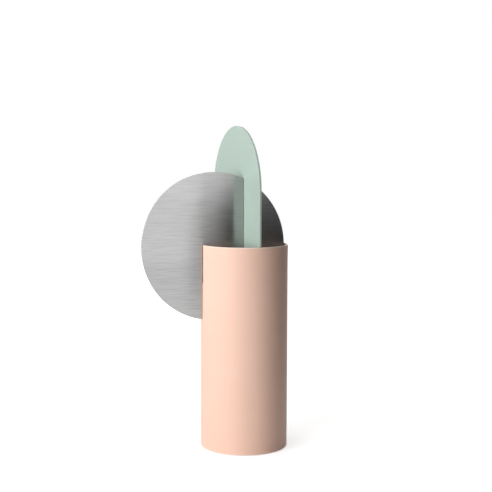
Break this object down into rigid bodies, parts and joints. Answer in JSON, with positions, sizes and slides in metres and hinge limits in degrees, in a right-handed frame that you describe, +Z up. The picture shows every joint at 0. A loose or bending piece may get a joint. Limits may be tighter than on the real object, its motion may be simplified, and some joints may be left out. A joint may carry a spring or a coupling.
{
  "type": "flower vase",
  "caption": "Free-standing metal vase: a painted tube with a welded base, and a brushed steel disc and a round-ended painted plate that slot into each other across its mouth.",
  "frame": {"origin": "on the tube's axis, on the surface that the vase stands on (the underside of the felt)", "axes": "+Z up along the tube's axis, X along the steel disc with its overhang towards -X, +Y towards the painted plate's overhang; the picture looks from the -Y side, 18 degrees round towards -X"},
  "size_m": [0.1517, 0.1327, 0.3285],
  "materials": {
    "peach_paint": "matt powder coat, pale peach",
    "mint_paint": "matt powder coat, pale mint green",
    "brushed_steel": "stainless steel with a level brushed grain",
    "grey_felt": "pressed wool felt, dark grey"
  },
  "bodies": {
    "vessel": {"tube": "peach_paint", "base_plate": "peach_paint", "base_weld": "peach_paint", "felt_pad": "grey_felt"},
    "disc": {"steel_disc": "brushed_steel"},
    "plate": {"mint_plate": "mint_paint"}
  },
  "joints": [
    {"name": "disc_lift", "type": "slide", "parent": "vessel", "child": "disc", "axis": [0, 0, 1], "range_m": [0, 0.085]},
    {"name": "plate_lift", "type": "slide", "parent": "disc", "child": "plate", "axis": [0, 0, 1], "range_m": [0, 0.16]}
  ]
}
